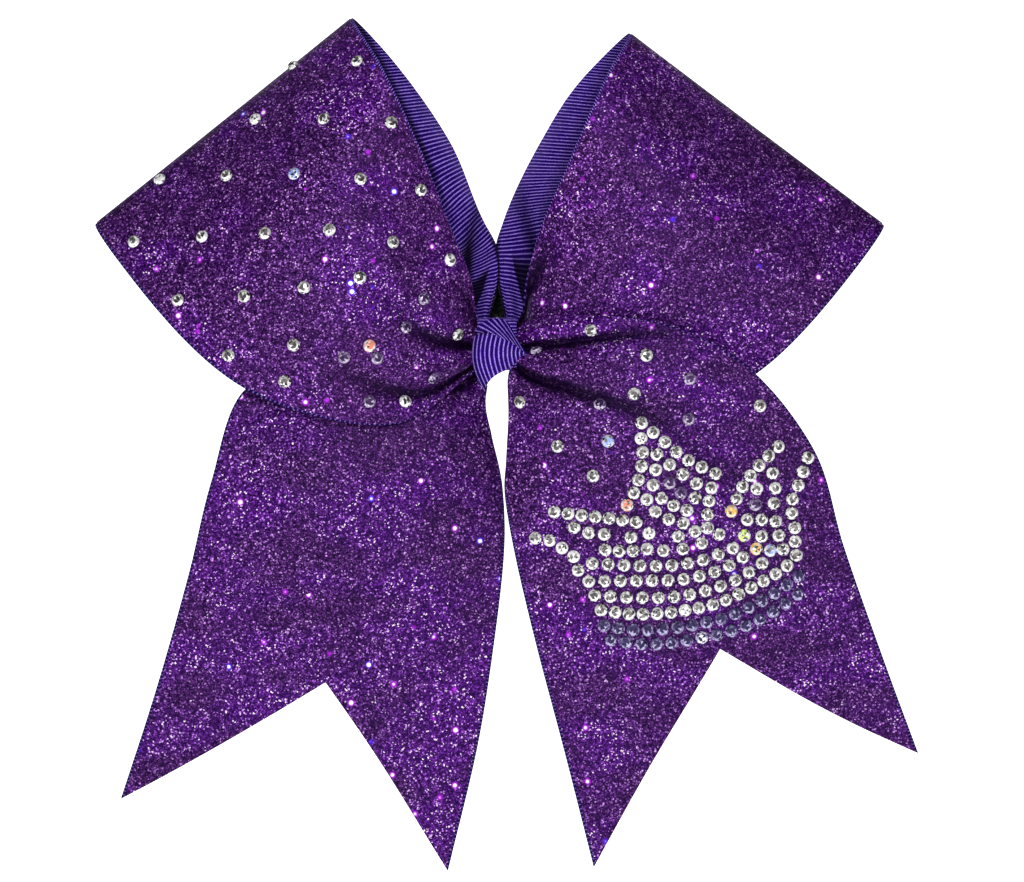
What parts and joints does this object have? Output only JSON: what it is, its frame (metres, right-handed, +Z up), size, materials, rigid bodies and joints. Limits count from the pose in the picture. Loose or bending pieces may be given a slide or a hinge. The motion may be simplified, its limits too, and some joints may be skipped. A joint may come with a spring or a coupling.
{
  "type": "cheer hair bow",
  "caption": "Two-loop, two-tailed purple cheer hair bow with clear stones, a stone crown on one swallow-tailed end, a knotted centre and a black hair elastic.",
  "frame": {"origin": "middle of the gathered ribbon, inside the centre knot, where the elastic holds the bow on the ponytail", "axes": "upright as worn: the front faces -Y, +X to the right of someone facing the bow, +Z up"},
  "size_m": [0.1927, 0.0784, 0.1999],
  "materials": {
    "grosgrain": "ribbed purple grosgrain",
    "glitter": "purple glitter film",
    "thread": "black thread",
    "elastic": "knitted black elastic",
    "clear": "clear faceted, foiled back",
    "violet": "deep violet faceted, foiled back"
  },
  "bodies": {
    "centre": {"ribbon_pinch": "grosgrain", "cinch_thread": "thread", "centre_knot": "grosgrain"},
    "left_loop": {"left_loop_backing": "grosgrain", "left_loop_glitter_face": "glitter", "loop_stone_01": "clear", "loop_stone_02": "clear", "loop_stone_03": "clear", "loop_stone_04": "clear", "loop_stone_05": "clear", "loop_stone_06": "clear", "loop_stone_07": "clear", "loop_stone_08": "clear", "loop_stone_09": "clear", "loop_stone_10": "clear", "loop_stone_11": "clear", "loop_stone_12": "clear", "loop_stone_13": "clear", "loop_stone_14": "clear", "loop_stone_15": "clear", "loop_stone_16": "clear", "loop_stone_17": "clear", "loop_stone_18": "clear", "loop_stone_19": "clear", "loop_stone_20": "clear", "loop_stone_21": "clear", "loop_stone_22": "clear", "loop_stone_23": "clear", "loop_stone_24": "clear", "loop_stone_25": "clear", "loop_stone_26": "clear", "loop_stone_27": "clear", "loop_stone_28": "clear", "loop_stone_29": "clear", "loop_stone_30": "clear", "loop_stone_31": "clear", "loop_stone_32": "clear"},
    "right_loop": {"right_loop_backing": "grosgrain", "right_loop_glitter_face": "glitter"},
    "left_tail": {"left_tail_backing": "grosgrain", "left_tail_glitter_face": "glitter"},
    "right_tail": {"right_tail_backing": "grosgrain", "right_tail_glitter_face": "glitter", "tail_stone_01": "clear", "tail_stone_02": "clear", "tail_stone_03": "clear", "tail_stone_04": "clear", "tail_stone_05": "clear", "tail_stone_06": "clear", "tail_stone_07": "clear", "tail_stone_08": "clear", "tail_stone_09": "clear", "tail_stone_10": "clear", "tail_stone_11": "clear", "tail_stone_12": "clear", "crown_clear_stones": "clear", "crown_violet_stones": "violet"},
    "elastic": {"hair_elastic": "elastic"}
  },
  "joints": [
    {"name": "left_loop_flex", "type": "hinge", "parent": "centre", "child": "left_loop", "pos_m": [-0.007, -0.0045, 0], "axis": [0, 0, 1], "range_deg": [0, 20], "stiffness_Nm_per_rad": 0.02},
    {"name": "right_loop_flex", "type": "hinge", "parent": "centre", "child": "right_loop", "pos_m": [0.0066, 0.0036, 0], "axis": [0, 0, 1], "range_deg": [0, 15], "stiffness_Nm_per_rad": 0.02},
    {"name": "left_tail_flex", "type": "hinge", "parent": "centre", "child": "left_tail", "pos_m": [-0.0053, -0.001, -0.0082], "axis": [0.9212, 0, -0.3891], "range_deg": [0, 20], "stiffness_Nm_per_rad": 0.02},
    {"name": "right_tail_flex", "type": "hinge", "parent": "centre", "child": "right_tail", "pos_m": [0.0085, -0.0066, 0.008], "axis": [-1, 0, 0], "range_deg": [0, 15], "stiffness_Nm_per_rad": 0.02},
    {"name": "elastic_swing", "type": "hinge", "parent": "centre", "child": "elastic", "pos_m": [0, 0.0075, 0], "axis": [1, 0, 0], "range_deg": [-45, 5], "stiffness_Nm_per_rad": 0.01}
  ]
}
